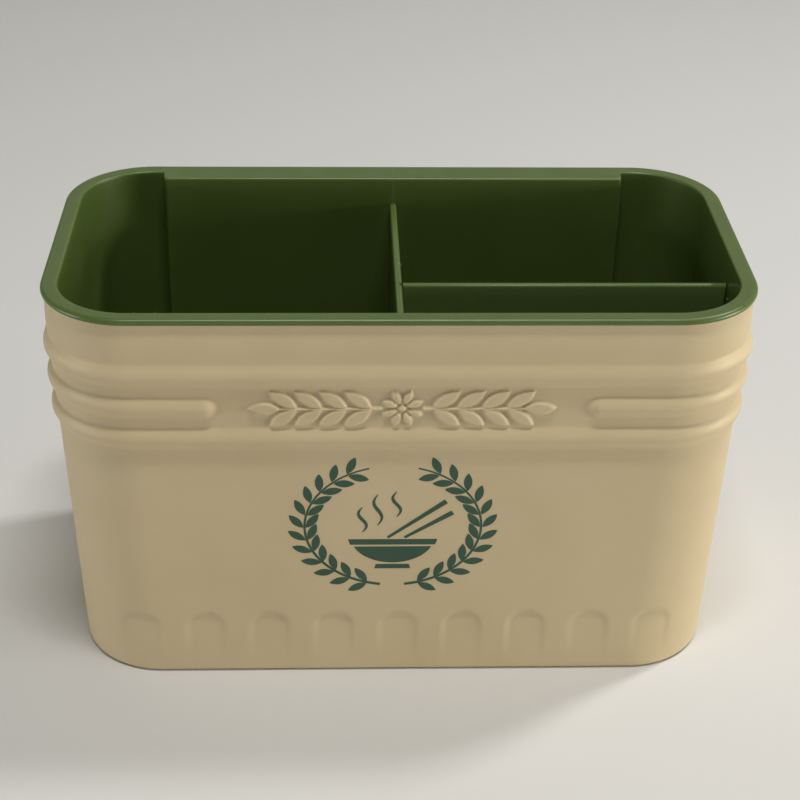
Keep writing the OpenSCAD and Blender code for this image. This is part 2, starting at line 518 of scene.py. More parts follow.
class Plan:
    """The columns round a wall, counter-clockwise seen from above from the front's left end."""

    # Degrees from the long wall, closer together where the flutes run out.
    corner_angles = [1.5 * i for i in range(23)] + [36 + 3 * i for i in range(19)]

    def __init__(self, taper: Taper, columns: Sequence[Column]) -> None:
        """Keep the columns as arrays.

        Args:
            taper: The leaning walls.
            columns: The columns in order.
        """

        def every(name: str) -> np.ndarray:
            """Collect one value of all columns."""
            return np.array([getattr(column, name) for column in columns])

        self.taper = taper
        self.out = every("out")
        self.along_x, self.along_y = every("along_x"), every("along_y")
        self.along_panel = every("along_panel")
        self.shift_x, self.shift_y = every("shift_x"), every("shift_y")
        self.step, self.groove = every("step"), every("groove")

    @staticmethod
    def long_wall(side: int, shares: Iterable[float]) -> list[Column]:
        """Lay out columns on the back wall, side 1, or the front wall, side -1."""
        return [Column((0, side), along_x=t, along_y=side) for t in shares]

    @staticmethod
    def short_wall(side: int, shares: Iterable[float]) -> list[Column]:
        """Lay out columns on the right wall, side 1, or the left wall, side -1."""
        return [Column((side, 0), along_x=side, along_y=t) for t in shares]

    @classmethod
    def corner(cls, side_x: int, side_y: int, from_side: bool) -> list[Column]:
        """Give the columns of one corner.

        Args:
            side_x: 1 for a right corner, -1 for a left one.
            side_y: 1 for a back corner, -1 for a front one.
            from_side: Whether the round arrives from a short side.

        Returns:
            The columns, with both of the corner's ends.
        """
        turns = [math.radians(a) for a in cls.corner_angles]
        turns = turns[::-1] if from_side else turns
        return [
            Column((side_x * math.sin(a), side_y * math.cos(a)), side_x, side_y) for a in turns
        ]

    def ring(
        self,
        z: float,
        inset: float,
        bulge: np.ndarray | float = 0.0,
        panel: float = 0.0,
        panel_end: float = 0.0,
    ) -> np.ndarray:
        """Give the points of all columns at a height.

        Args:
            z: Height above the table.
            inset: Distance in from the shell's surface.
            bulge: Distance out from there, for all columns or for each.
            panel: Share of the back panel's step that shows at this height.
            panel_end: Distance of the panel's ends from the middle.

        Returns:
            Rows of x, y and z.
        """
        centre_x, centre_y = self.taper.centre(z)
        radius = self.taper.shell_corner - inset + bulge
        x = self.along_x * centre_x + self.along_panel * panel_end + self.shift_x
        y = self.along_y * centre_y + self.shift_y - panel * self.step
        return np.column_stack(
            [x + radius * self.out[:, 0], y + radius * self.out[:, 1], np.full_like(x, z)]
        )


@dataclass
class LaurelRelief:
    """Two raised laurel sprigs that meet at a rosette, between the ends of the middle bead."""

    middle_z: float
    half_length: float = 44.0
    height: float = 0.85
    soft: float = 0.8
    leaf_length: float = 10.2
    leaf_width: float = 4.6
    leaf_pitch: float = 7.0
    leaf_turn: float = 36.0
    leaf_pairs: int = 4
    first_leaf: float = 8.4
    stem_half: float = 0.7
    petal_count: int = 8
    petal_length: float = 5.4
    petal_width: float = 3.0
    petal_start: float = 1.2
    eye_radius: float = 1.3

    @staticmethod
    def leaf(
        x: np.ndarray,
        z: np.ndarray,
        root: Pair,
        turn: float,
        length: float,
        width: float,
    ) -> np.ndarray:
        """Measure how deep points lie inside a leaf with two pointed ends.

        Args:
            x: Points' x.
            z: Points' z.
            root: Where the leaf starts.
            turn: Direction of the leaf in radians, 0 along +X.
            length: Length of the leaf.
            width: Width of the leaf at its middle.

        Returns:
            Distance inside the leaf's edge, which is negative outside it.
        """
        along = (x - root[0]) * math.cos(turn) + (z - root[1]) * math.sin(turn) - length / 2
        across = np.abs((z - root[1]) * math.cos(turn) - (x - root[0]) * math.sin(turn))
        radius = (length**2 + width**2) / (4 * width)
        return radius - np.hypot(along, across + radius - width / 2)

    def rise(self, x: np.ndarray, z: float) -> np.ndarray:
        """Give the height of the relief at one height of the wall.

        Args:
            x: The columns' x.
            z: Height above the table.

        Returns:
            How far the wall stands out.
        """
        level, side = np.full_like(x, z - self.middle_z), np.abs(x)
        reach = self.half_length - self.leaf_length / 2
        stem = np.minimum(side - self.petal_length, reach - side)
        inside = [np.minimum(self.stem_half - np.abs(level), stem)]
        inside.append(self.eye_radius - np.hypot(x, level))
        turn = math.radians(self.leaf_turn)
        leaves = [(reach - self.leaf_length / 2, 0.0)]
        for pair in range(self.leaf_pairs):
            root = self.first_leaf + pair * self.leaf_pitch
            leaves += [(root, -turn), (root, turn)]
        for root, turn in leaves:
            size = self.leaf_length, self.leaf_width
            inside.append(self.leaf(side, level, (root, 0.0), turn, *size))
        for petal in range(self.petal_count):
            turn = math.tau * (petal + 0.5) / self.petal_count
            root = (self.petal_start * math.cos(turn), self.petal_start * math.sin(turn))
            inside.append(self.leaf(x, level, root, turn, self.petal_length, self.petal_width))
        return self.height * soft_step(np.max(inside, axis=0), self.soft)


@dataclass
class OuterShell:
    """The cream shell: leaning walls with running beads, fluted foot and a foot ring."""

    taper: Taper
    wall: float = 2.0
    floor: float = 2.5
    foot_round: float = 1.8
    foot_ring: float = 7.0
    foot_hollow: float = 0.8
    ring_inner: float = 0.4
    ring_outer: float = 0.3
    edge_round: float = 0.35
    bead_low: float = 86.1
    bead_pitch: float = 10.25
    bead_half: float = 3.6
    bead_out: float = 1.55
    bead_fullness: float = 1.15
    bead_stop: float = 56.0
    bead_margin: float = 0.2
    neck_low: float = 114.5
    neck_soft: float = 7.5
    neck_in: float = 0.4
    flute_count: int = 9
    flute_pitch: float = 19.5
    flute_width: float = 13.7
    flute_top: float = 24.0
    flute_low: float = 3.0
    flute_soft: float = 2.6
    fine_step: float = 0.35
    plain_step: float = 0.7
    flute_step: float = 0.6
    bead_step: float = 0.4
    facing_front: float = 0.99
    facing_long_side: float = 0.7
    relief: LaurelRelief = field(init=False)

    def __post_init__(self) -> None:
        """Place the relief on the line of the middle bead."""
        self.relief = LaurelRelief(self.bead_low + self.bead_pitch)

    def plan(self) -> Plan:
        """Lay out the columns, fine where the relief is."""
        foot_x = self.taper.centre(0)[0]
        fine_half = self.relief.half_length + 1
        fine = np.linspace(-fine_half, fine_half, round(2 * fine_half / self.fine_step) + 1)
        side = between(fine_half, foot_x, round((foot_x - fine_half) / self.plain_step))
        front = np.concatenate([-side[::-1], fine, side]) / foot_x
        back = between(1, -1, round(2 * foot_x / self.plain_step))
        short = between(-1, 1, 8)
        columns = Plan.long_wall(-1, front) + Plan.corner(1, -1, False)
        columns += Plan.short_wall(1, short) + Plan.corner(1, 1, True)
        columns += Plan.long_wall(1, back) + Plan.corner(-1, 1, False)
        columns += Plan.short_wall(-1, -short) + Plan.corner(-1, -1, True)
        return Plan(self.taper, columns)

    def bead(self, distance: np.ndarray | float) -> np.ndarray:
        """Give how far a bead stands out at a distance from its middle line."""
        share = np.clip(np.abs(distance) / self.bead_half, 0, 1)
        return self.bead_out * (1 - share**2) ** self.bead_fullness

    def flutes(self, x: np.ndarray, z: float) -> np.ndarray:
        """Give how deep the flutes cut into the wall, whose backs are upright.

        Args:
            x: The columns' x.
            z: Height above the table.

        Returns:
            Depth of the cut.
        """
        depth = max(0.0, self.taper.lean(self.flute_low) - self.taper.lean(z))
        half = (self.flute_count - 1) / 2
        nearest = np.clip(np.round(x / self.flute_pitch), -half, half) * self.flute_pitch
        crown = self.flute_top - self.flute_width / 2
        inside = self.flute_width / 2 - np.hypot(x - nearest, max(0.0, z - crown))
        return depth * soft_step(inside, self.flute_soft)

    def bulge(self, plan: Plan, z: float) -> np.ndarray:
        """Add up beads, flutes and relief at a height.

        Args:
            plan: The columns.
            z: Height above the table.

        Returns:
            How far the surface stands out from the plain wall, for each column.
        """
        wall = plan.ring(z, 0)
        x, front = wall[:, 0], plan.out[:, 1] < 0
        middle = self.bead_low + self.bead_pitch
        outer = max(self.bead(z - self.bead_low), self.bead(z - middle - self.bead_pitch))
        short_of_bead = np.where(front, np.maximum(0, self.bead_stop - np.abs(x)), 0)
        out = np.maximum(outer, self.bead(np.hypot(short_of_bead, z - middle)))
        facing = front & (plan.out[:, 1] < -self.facing_front)
        out = out + np.where(facing, self.relief.rise(x, z), 0)
        long_side = np.abs(plan.out[:, 1]) > self.facing_long_side
        neck = self.neck_in * soft_step(z - self.neck_low, self.neck_soft)
        return out - neck - np.where(long_side, self.flutes(x, z), 0)

    def heights(self) -> list[float]:
        """List the heights of the rings up the outside, fine where the form needs it."""
        reach = self.bead_half + self.bead_margin
        bead_foot, bead_head = self.bead_low - reach, self.bead_low + 2 * self.bead_pitch + reach
        top = self.taper.shell_height - self.edge_round
        parts = [
            np.arange(self.foot_round + PAST_ROUND, self.flute_top + PAST_FILLET, self.flute_step),
            np.linspace(self.flute_top + 2 * PAST_FILLET, bead_foot - PAST_FILLET, 9),
            np.arange(bead_foot, bead_head, self.bead_step),
            np.linspace(bead_head + 0.5, self.neck_low, 6),
            np.linspace(self.neck_low + PAST_ROUND, top - PAST_CORNER, 10),
        ]
        return [float(z) for part in parts for z in part]

    def build(self) -> Body:
        """Build the closed skin, from the hollow under the foot to the floor inside."""
        plan, body = self.plan(), Body()
        ring, hollow = self.foot_ring, self.foot_hollow
        inner, outer = round_edge(self.ring_inner)[::-1], round_edge(self.ring_outer)[::-1]
        rings = [plan.ring(hollow, ring + 2), plan.ring(hollow, ring + 2 * self.ring_inner)]
        rings += [plan.ring(hollow - up, ring + self.ring_inner - out) for out, up in inner]
        rings += [plan.ring(out, ring - up) for up, out in outer]
        rings += [plan.ring(0, self.foot_round + PAST_ROUND)]
        rings += [plan.ring(up, out) for up, out in round_edge(self.foot_round, 8)]
        rings += [plan.ring(z, 0, self.bulge(plan, z)) for z in self.heights()]
        top, edge = self.taper.shell_height, round_edge(self.edge_round)
        rings += [plan.ring(top - up, self.neck_in + out) for out, up in edge]
        rings += [plan.ring(top - up, self.wall - out) for out, up in edge[::-1]]
        depths = np.linspace(top - 2, self.floor + self.foot_round + PAST_FILLET, 8)
        rings += [plan.ring(float(z), self.wall) for z in depths]
        fillet = round_edge(self.foot_round, 8)[::-1]
        rings += [plan.ring(self.floor + up, self.wall + out) for up, out in fillet]
        rings += [plan.ring(self.floor, self.wall + self.foot_round + PAST_FILLET)]
        body.closed(rings)
        return body

    def dress(self) -> bpy.types.Object:
        """Make the piece that stands for the CAD shell."""
        made = self.build().piece("shell_body", Carrier.SHELL, CREAM.material())
        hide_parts("outer_shell")
        return made


@dataclass
class FrontPrint:
    """Ink on the front wall: an oval wreath of leaves round a bowl with chopsticks and steam."""

    taper: Taper
    middle_x: float = -2.0
    middle_z: float = 55.0
    film: float = 0.05
    wreath_x: float = 26.0
    wreath_z: float = 21.5
    leaf_length: float = 6.2
    leaf_width: float = 2.5
    leaf_turn: float = 40.0
    leaf_start: float = 0.6
    bowl_half: float = 12.2
    bowl_deep: float = 9.0
    bowl_z: float = -4.2

    # The bowl's lip and foot, both ends of each chopstick, and each wisp's x, foot and height.
    patches = (
        ((-12.6, -6.6), (12.6, -6.6), (13.2, -4.6), (-13.2, -4.6)),
        ((-5.4, -15.4), (5.4, -15.4), (4.9, -13.8), (-4.9, -13.8)),
    )
    chopsticks = (((-1.5, -4.0), (15.5, 9.0)), ((3.5, -4.0), (17.5, 5.0)))
    steam = ((-9.0, -2.0, 9.0), (-4.5, 0.5, 11.0), (1.0, 3.5, 9.0))

    def on_wall(self, flat: np.ndarray, out: float) -> np.ndarray:
        """Lay points of the drawing on the front wall.

        Args:
            flat: Rows of the distances to the right of and above the drawing's middle.
            out: Distance in front of the wall.

        Returns:
            Rows of x, y and z.
        """
        z = self.middle_z + flat[:, 1]
        y = np.array([self.taper.lean(h) for h in z]) - self.taper.rim_depth / 2 - out
        return np.column_stack([self.middle_x + flat[:, 0], y, z])

    def patch(self, body: Body, outline: np.ndarray) -> None:
        """Add one patch of ink with a counter-clockwise outline."""
        body.closed([self.on_wall(outline, -self.film), self.on_wall(outline, self.film)])

    def stroke(self, body: Body, path: np.ndarray, half: np.ndarray) -> None:
        """Add a line of ink.

        Args:
            body: The mesh to add to.
            path: Points along the line's middle.
            half: Half the line's width at each point.
        """
        along = np.gradient(path, axis=0)
        along /= np.linalg.norm(along, axis=1)[:, None]
        left = np.column_stack([-along[:, 1], along[:, 0]]) * half[:, None]
        self.patch(body, np.concatenate([path - left, (path + left)[::-1]]))

    def leaf(self, body: Body, root: Pair, turn: float) -> None:
        """Add a pointed leaf that starts near a root and points along a turn in radians."""
        share = np.linspace(0, 1, 11)
        half = self.leaf_width / 2 * np.sin(math.pi * share) ** 0.8
        heading = np.array([math.cos(turn), math.sin(turn)])
        path = np.array(root) + np.outer(self.leaf_start + self.leaf_length * share, heading)
        left = np.outer(half, (-heading[1], heading[0]))
        self.patch(body, np.concatenate([path - left, (path + left)[-2:0:-1]]))

    def wreath(self, body: Body) -> None:
        """Add two bent sprigs that leave a gap at the top."""
        for side in (-1, 1):
            turns = np.radians(np.linspace(-82, 74, 53))
            x, z = side * self.wreath_x * np.cos(turns), self.wreath_z * np.sin(turns)
            self.stroke(body, np.column_stack([x, z]), np.linspace(0.45, 0.25, len(turns)))
            for turn in np.radians(np.arange(-74, 70, 12)):
                root = (side * self.wreath_x * math.cos(turn), self.wreath_z * math.sin(turn))
                rise, run = self.wreath_z * math.cos(turn), -side * self.wreath_x * math.sin(turn)
                for apart in (-1, 1):
                    spread = apart * math.radians(self.leaf_turn)
                    self.leaf(body, root, math.atan2(rise, run) + spread)

    def bowl(self, body: Body) -> None:
        """Add the bowl, the chopsticks that lean on it and the steam."""
        turns = np.radians(np.linspace(200, 340, 25))
        belly = (self.bowl_half * np.cos(turns), self.bowl_z + self.bowl_deep * np.sin(turns))
        for outline in (np.column_stack(belly), *self.patches):
            self.patch(body, np.array(outline))
        for low, high in self.chopsticks:
            self.stroke(body, np.linspace(low, high, 9), np.linspace(0.45, 0.8, 9))
        share = np.linspace(0, 1, 21)
        for x, low, tall in self.steam:
            curl = np.column_stack([x + 1.2 * np.sin(math.tau * share), low + tall * share])
            self.stroke(body, curl, 0.12 + 0.42 * np.sin(math.pi * share))

    def dress(self) -> bpy.types.Object:
        """Make the film of ink."""
        body = Body()
        self.wreath(body)
        self.bowl(body)
        return body.piece("front_print", Carrier.SHELL, GREEN_INK.material())


@dataclass
class InnerLiner:
    """The green liner: bullnose rim, stepped back panel, guide grooves and drain slots."""

    taper: Taper
    main_x: float
    cross_y: float
    shell_wall: float = 2.0
    gap: float = 0.6
    wall: float = 2.0
    floor: float = 14.0
    floor_thickness: float = 2.0
    foot_round: float = 3.0
    rim_nose: float = 1.2
    rim_under: float = 0.7
    rim_lip: float = 0.8
    panel_in: float = 5.2
    panel_half: float = 73.4
    panel_clear: float = 0.65
    panel_draft: float = 0.15
    panel_hollow: float = 0.4
    panel_soft: float = 1.2
    groove_width: float = 1.3
    groove_in: float = 0.7
    groove_foot: float = 3.5
    groove_head: float = 115.0
    groove_soft: float = 0.09
    line_rise: float = 0.05
    line_width: float = 0.3
    line_drop: float = 1.6
    slot_width: float = 3.0
    slot_length: float = 10.0
    slot_pitch: float = 9.0
    slot_count: int = 9
    slot_rows: tuple[float, ...] = (-30.0, -7.5, 12.0, 30.0)
    slot_soft: float = 0.35

    # Marks of the mould on the rim: the ends of a line on the right front corner, and specks.
    corner_line = ((95.7, -45.1), (95.1, -40.8))
    specks = ((-84.6, -49.3), (-79.9, -49.2), (-74.1, -49.3), (-68.3, -49.2), (91.4, -41.3))

    @property
    def outside(self) -> float:
        """Inset of the liner's outer face from the shell's surface."""
        return self.shell_wall + self.gap

    @property
    def inside(self) -> float:
        """Inset of the liner's inner face from the shell's surface."""
        return self.outside + self.wall

    @property
    def crest(self) -> float:
        """Height of the rim, which leaves the mould's ridges room below the CAD height."""
        return self.taper.total_height - self.line_rise - 0.01

    def groove_profile(self) -> list[Pair]:
        """Give offsets across a guide groove, each with its share of the full depth."""
        half, soft = self.groove_width / 2, self.groove_soft
        edge = [(-half - soft, 0.0), (-half, 0.12), (-half + soft, 0.95), (-half + 2 * soft, 1.0)]
        return edge + [(-offset, depth) for offset, depth in edge[::-1]]

    def front_run(self) -> list[Column]:
        """Lay out the columns of the front wall, with the groove for the main divider."""
        side = between(1, 0, 24)
        columns = Plan.long_wall(-1, -side)
        columns += [
            Column((0, -1), along_y=-1, shift_x=self.main_x + offset, groove=depth)
            for offset, depth in self.groove_profile()
        ]
        return columns + Plan.long_wall(-1, side[::-1])

    def right_run(self) -> list[Column]:
        """Lay out the columns of the right wall, with the cross divider's groove."""
        share = self.cross_y / self.taper.centre(self.floor)[1]
        columns = Plan.short_wall(1, between(-1, share, 4))
        columns += [
            Column((1, 0), along_x=1, shift_y=self.cross_y + offset, groove=depth)
            for offset, depth in self.groove_profile()
        ]
        return columns + Plan.short_wall(1, between(share, 1, 12))

    def panel_end(self) -> list[Pair]:
        """Give the soft step at the panel's end: offset from its end and share of the step."""
        depth, draft = self.panel_in, self.panel_draft
        foot = [(draft + along, out) for out, along in round_edge(self.panel_hollow, 5)]
        head = [(-along, depth - out) for along, out in round_edge(self.panel_soft, 8)]
        return [(offset, step / depth) for offset, step in foot + head]

    def back_run(self) -> list[Column]:
        """Lay out the columns of the back wall from right to left, with the stepped panel."""
        ends = self.panel_end()
        inner = self.panel_soft + PAST_ROUND
        face = between(1, 0, 25)

        def panel(along: float, shift: float, share: float) -> Column:
            """Make a column at a share of the panel's half length."""
            step = share * self.panel_in
            return Column((0, 1), along_y=1, along_panel=along, shift_x=shift, step=step)

        columns = [panel(1, offset, share) for offset, share in ends]
        columns += [panel(t, -inner * t, 1) for t in (1.0, *face)]
        columns += [
            Column((0, 1), along_y=1, shift_x=self.main_x - offset, step=self.panel_in, groove=depth)
            for offset, depth in self.groove_profile()
        ]
        columns += [panel(-t, inner * t, 1) for t in (*face[::-1], 1.0)]
        return columns + [panel(-1, -offset, share) for offset, share in ends[::-1]]

    def plan(self) -> Plan:
        """Lay out all columns."""
        columns = self.front_run() + Plan.corner(1, -1, False) + self.right_run()
        columns += Plan.corner(1, 1, True) + self.back_run() + Plan.corner(-1, 1, False)
        columns += Plan.short_wall(-1, between(1, -1, 15)) + Plan.corner(-1, -1, True)
        return Plan(self.taper, columns)

    def wall_ring(
        self, plan: Plan, z: float, inset: float, outer: bool = False, groove: float = 0.0
    ) -> np.ndarray:
        """Give a ring of the liner's wall.

        Args:
            plan: The columns.
            z: Height above the table.
            inset: Distance in from the shell's surface.
            outer: Whether the ring is on the outer face, whose panel is a wall's width shorter.
            groove: Depth of the guide grooves at this height.

        Returns:
            Rows of x, y and z.
        """
        longest = self.panel_half - (self.wall if outer else 0)
        end = min(longest, self.taper.centre(z)[0] - self.panel_clear)
        return plan.ring(z, inset, groove * plan.groove, 1, end)

    def rim_ring(self, plan: Plan, z: float, inset: float) -> np.ndarray:
        """Give a ring on the rim, where the panel's step doesn't show."""
        return plan.ring(z, inset - self.taper.top_inset, 0, 0, self.panel_half)

    def slots(self, body: Body, level: float, edge: np.ndarray, bottom: np.ndarray) -> None:
        """Build the pierced floor between two rings.

        Args:
            body: The mesh that holds the rings.
            level: Height of the floor's upper face.
            edge: Numbers of the ring round the upper face.
            bottom: Numbers of the ring round the lower face.
        """
        rows = [(level - down, grow) for down, grow in round_edge(self.slot_soft, 4)]
        low = level - self.floor_thickness
        upper, lower = [], []
        for side in (-1, 1):
            for i in range(1, self.slot_count + 1):
                for y in self.slot_rows:
                    x = self.main_x + side * i * self.slot_pitch
                    loops = [self.slot_loop(x, y, z, grow) for z, grow in rows]
                    loops += [self.slot_loop(x, y, low + 0.2, 0), self.slot_loop(x, y, low, 0.15)]
                    grid = body.loft([loop[::-1] for loop in loops])
                    upper.append(grid[0])
                    lower.append(grid[-1])
        body.pierced(edge, upper, True)
        body.pierced(bottom, lower, False)

    def slot_loop(self, x: float, y: float, z: float, grow: float) -> np.ndarray:
        """Give the outline of one drain slot, grown by a margin, counter-clockwise."""
        radius = self.slot_width / 2 + grow
        reach = (self.slot_length - self.slot_width) / 2
        turns = np.linspace(0, math.pi, 9)
        back = np.column_stack([x + radius * np.cos(turns), y + reach + radius * np.sin(turns)])
        front = np.column_stack([x - radius * np.cos(turns), y - reach - radius * np.sin(turns)])
        outline = np.concatenate([back, front])
        return np.column_stack([outline, np.full(len(outline), z)])

    def build(self) -> Body:
        """Build the closed skin round the wall and rim, and the pierced floor."""
        plan, body = self.plan(), Body()
        low, total = self.floor - self.floor_thickness, self.crest
        under, lip = self.taper.shell_height, self.rim_lip
        floor_inset = self.inside + self.foot_round + PAST_FILLET
        end = min(self.panel_half, self.taper.centre(self.floor)[0] - self.panel_clear)
        flat = plan.ring(self.floor, floor_inset, 0, 1, end)
        rings = [flat - (0, 0, self.floor_thickness)]
        fillet = round_edge(self.foot_round, 7)
        rings += [self.wall_ring(plan, low + up, self.outside + out, True) for up, out in fillet]
        upright = np.linspace(low + 8, under - PAST_CORNER, 6)
        rings += [self.wall_ring(plan, float(z), self.outside, True) for z in upright]
        rings += [self.wall_ring(plan, under, self.outside - PAST_CORNER, True)]
        rings += [self.rim_ring(plan, under, self.rim_under + PAST_CORNER)]
        rings += [self.rim_ring(plan, under + up, out) for up, out in round_edge(self.rim_under, 6)]
        rings += [self.rim_ring(plan, total - up, out) for out, up in round_edge(self.rim_nose, 8)]
        rings += [self.rim_ring(plan, total, self.rim_nose + PAST_ROUND)]
        rings += [self.wall_ring(plan, total, self.inside - lip - PAST_FILLET)]
        lips = round_edge(lip, 6)[::-1]
        rings += [self.wall_ring(plan, total - up, self.inside - out) for out, up in lips]
        foot, head, deep = self.floor + self.groove_foot, self.groove_head, self.groove_in
        rings += [self.wall_ring(plan, z, self.inside) for z in (total - 4, head + 0.2)]
        rings += [
            self.wall_ring(plan, float(z), self.inside, groove=deep)
            for z in np.linspace(head - 0.2, foot + 0.15, 10)
        ]
        rings += [
            self.wall_ring(plan, self.floor + up, self.inside + out)
            for up, out in [(foot - self.floor - 0.15, 0.0), *fillet[::-1]]
        ]
        rings += [flat]
        grid = body.loft(rings)
        self.slots(body, self.floor, grid[-1], grid[0])
        self.mould_lines(body)
        return body

    def mould_lines(self, body: Body) -> None:
        """Add the faint ridges and specks that the mould leaves on the rim and the panel."""
        top, x = self.crest, self.main_x
        edge = self.taper.rim_depth / 2
        panel = edge - self.taper.lean(top) - self.inside - self.panel_in
        low = self.groove_head + self.line_drop
        foot = edge - self.taper.lean(low) - self.inside - self.panel_in
        path = [(x, edge - 2, top), (x, panel + 1, top), (x, panel, top - 1), (x, foot, low)]
        normals = [(0, 0, 1), (0, 0, 1), (0, -1, 0), (0, -1, 0)]
        body.ridge(path, normals, self.line_width, self.line_rise)
        path = [(*end, top) for end in self.corner_line]
        body.ridge(path, [(0, 0, 1)] * 2, self.line_width, self.line_rise)
        for at, y in self.specks:
            path = [(at, y - 0.2, top), (at + 0.1, y, top), (at, y + 0.2, top)]
            body.ridge(path, [(0, 0, 1)] * 3, self.line_width + 0.05, self.line_rise)

    def dress(self, finish: bpy.types.Material) -> bpy.types.Object:
        """Make the piece that stands for the CAD liner."""
        made = self.build().piece("liner_body", Carrier.LINER, finish)
        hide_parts("inner_liner")
        return made


@dataclass
class Divider:
    """A plate with a flat top and thin tongues along its upright edges, running along +Y.

    Each of front and back holds the distance of the plate's edge from the middle at the foot
    and at the shoulder under the rounded edges. Turned plates run along +X instead.
    """

    name: str
    carrier: Carrier
    node: str
    middle: float
    front: Pair
    back: Pair
    floor: float
    shoulder: float
    cut: Pair
    thickness: float
    notches: tuple[float, ...] = ()
    nub: float | None = None  # Where along the plate a small mark of the mould is on its top.
    top_round: float = 0.8
    tongue: float = 0.9
    tongue_out: Pair = (0.6, 0.6)
    tongue_head: float = 102.4
    notch_width: float = 1.3
    notch_depth: float = 0.5
    notch_round: float = 0.08
    soft: float = 0.18
    tip_soft: float = 0.1
    foot_squeeze: float = 0.86
    hidden_tongue: float = 0.03
    round_turns: tuple[int, ...] = (15, 30, 45, 58, 70, 80, 90)
    turned: bool = False

    def section(self, squeeze: float, low: float, high: float, out: float) -> np.ndarray:
        """Give the outline of a level cut, counter-clockwise seen from above.

        Args:
            squeeze: Share of the full thickness.
            low: Place of the plate's front edge.
            high: Place of its back edge.
            out: Share of the tongues' reach.

        Returns:
            Rows of the distances across and along the plate.
        """
        half, thin, soft = self.thickness / 2, self.tongue / 2, self.soft
        out_low, out_high = (reach * out for reach in self.tongue_out)
        soft_tip = self.tip_soft * out
        right = [(half - soft, low), (half, low + soft)]
        for notch in sorted(self.notches):
            near, far = notch - self.notch_width / 2, notch + self.notch_width / 2
            deep, edge = half - self.notch_depth, half - self.notch_round
            right += [(half, near - 0.1), (edge, near), (deep, near + self.notch_round / 2)]
            right += [(deep, far - self.notch_round / 2), (edge, far), (half, far + 0.1)]
        right += [(half, high - soft), (half - soft, high)]
        head = [(thin, high), (thin, high + out_high - soft_tip)]
        head.append((thin - soft_tip, high + out_high))
        foot = [(thin - soft_tip, low - out_low), (thin, low - out_low + soft_tip), (thin, low)]
        left = [(-half + soft, high), (-half, high - soft), (-half, low + soft), (-half + soft, low)]
        outline = foot + right + head + [(-x, y) for x, y in head[::-1]] + left
        outline += [(-x, y) for x, y in foot[::-1]]
        return np.array(outline) * (squeeze, 1)

    def build(self) -> Body:
        """Loft the plate from its foot to its flat top."""
        body, rings = Body(), []
        half = self.thickness / 2
        flat = half - self.top_round
        rise = max(self.cut)
        levels = [(self.floor + 0.02, self.foot_squeeze, 0.0)]
        levels += [(self.floor + PAST_CORNER, 1.0, 0.0)]
        levels += [(self.floor + rise * k / 4, 1.0, k / 4) for k in range(1, 5)]
        head = self.tongue_head
        uprights = [*np.linspace(self.floor + rise + 4, head, 6), head + 0.1]
        uprights += np.linspace(head + 3, self.shoulder, 4).tolist()
        levels += [(float(z), 1.0, 1.0) for z in uprights]
        for turn in map(math.radians, self.round_turns):
            squeeze = (flat + self.top_round * math.cos(turn)) / half
            levels.append((self.shoulder + self.top_round * math.sin(turn), squeeze, 1.0))
        for z, squeeze, grown in levels:
            share = (z - self.floor - rise) / (self.shoulder - self.floor - rise)
            share = min(max(0.0, share), 1.0)
            low, high = (foot + (top - foot) * share for foot, top in (self.front, self.back))
            low, high = low + self.cut[0] * (1 - grown), high - self.cut[1] * (1 - grown)
            tongues = 1.0 if z <= head else self.hidden_tongue
            section = self.section(squeeze, low, high, tongues)
            across, along = section[:, 0] + self.middle, section[:, 1]
            if self.turned:
                across, along = section[:, 1], self.middle - section[:, 0]
            rings.append(np.column_stack([across, along, np.full(len(section), z)]))
        body.closed(rings)
        if self.nub is not None:
            side, top = self.middle + half, self.shoulder + self.top_round
            path = [(side - 0.7, self.nub, top), (side - 0.1, self.nub, top - 0.15)]
            path.append((side + 0.25, self.nub, top - 0.9))
            body.ridge(path, [(0, 0, 1), (0.5, 0, 0.87), (1, 0, 0)], 1.0, 0.12)
        return body

    def dress(self, finish: bpy.types.Material) -> bpy.types.Object:
        """Make the piece that stands for the CAD plate."""
        made = self.build().piece(self.name, self.carrier, finish)
        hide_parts(self.node)
        return made


@dataclass(frozen=True)
class Lamp:
    """A soft rectangular light that looks at the middle of the caddy, in metres and watts."""

    name: str
    place: Triple
    size: Pair
    power: float
    tint: Triple
    aim_height: float = 0.06

    def hang(self) -> None:
        """Put the light in the scene."""
        light = bpy.data.lights.new(self.name, "AREA")
        light.shape = "RECTANGLE"
        light.size, light.size_y = self.size
        light.energy = self.power
        light.color = self.tint
        made = linked(self.name, light)
        made.location = self.place
        aim = Vector((0, 0, self.aim_height)) - Vector(self.place)
        made.rotation_euler = aim.to_track_quat("-Z", "Y").to_euler()


WARM, PLAIN, COOL = (1.0, 0.96, 0.89), (1.0, 0.98, 0.94), (0.98, 1.0, 0.96)
LAMPS = (
    Lamp("key_back", (0.72, 0.3, 1.15), (0.14, 0.2), 6.5, PLAIN),
    Lamp("back_glow", (0.0, 1.6, 1.04), (1.8, 0.8), 2.2, WARM),
    Lamp("overhead", (0.05, -0.36, 1.6), (0.5, 0.12), 12.0, PLAIN),
    Lamp("right_low", (1.25, -0.35, 0.18), (0.5, 0.22), 9.0, WARM),
    Lamp("left_low", (-1.2, -0.3, 0.15), (0.5, 0.25), 3.8, COOL),
    Lamp("front_low", (-0.1, -1.4, 0.15), (0.8, 0.25), 0.8, PLAIN),
)


